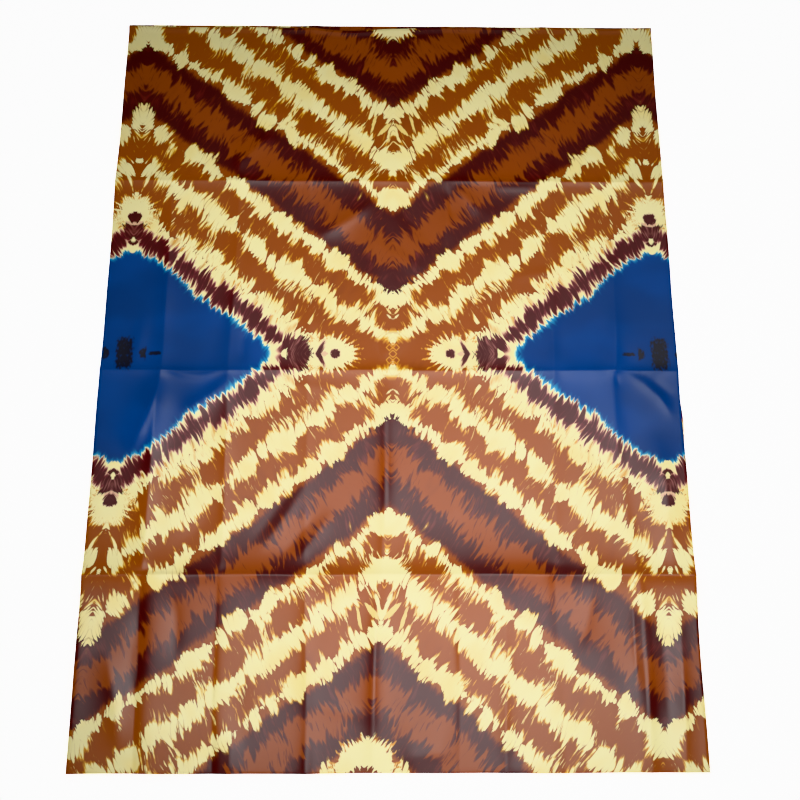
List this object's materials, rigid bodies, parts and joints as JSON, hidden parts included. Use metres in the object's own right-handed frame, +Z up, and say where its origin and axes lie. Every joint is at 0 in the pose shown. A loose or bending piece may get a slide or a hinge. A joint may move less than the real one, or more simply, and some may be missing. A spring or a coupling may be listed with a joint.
{
  "type": "folded length of bazin riche fabric",
  "caption": "Length of glazed damask cotton with a tie-dye style chevron and diamond print, folded up and laid flat, ready to be cut for African dress.",
  "frame": {"origin": "on the surface the cloth rests on, under the middle of its outline", "axes": "+X runs across the cloth from selvedge to selvedge, +Y along it from the near fold to the far fold, +Z up through the layers"},
  "size_m": [1.1417, 1.5239, 0.0129],
  "materials": {
    "glazed_print": "glazed satin, printed"
  },
  "bodies": {
    "root": {"top_layer": "glazed_print", "hidden_layers": "glazed_print"}
  },
  "joints": []
}
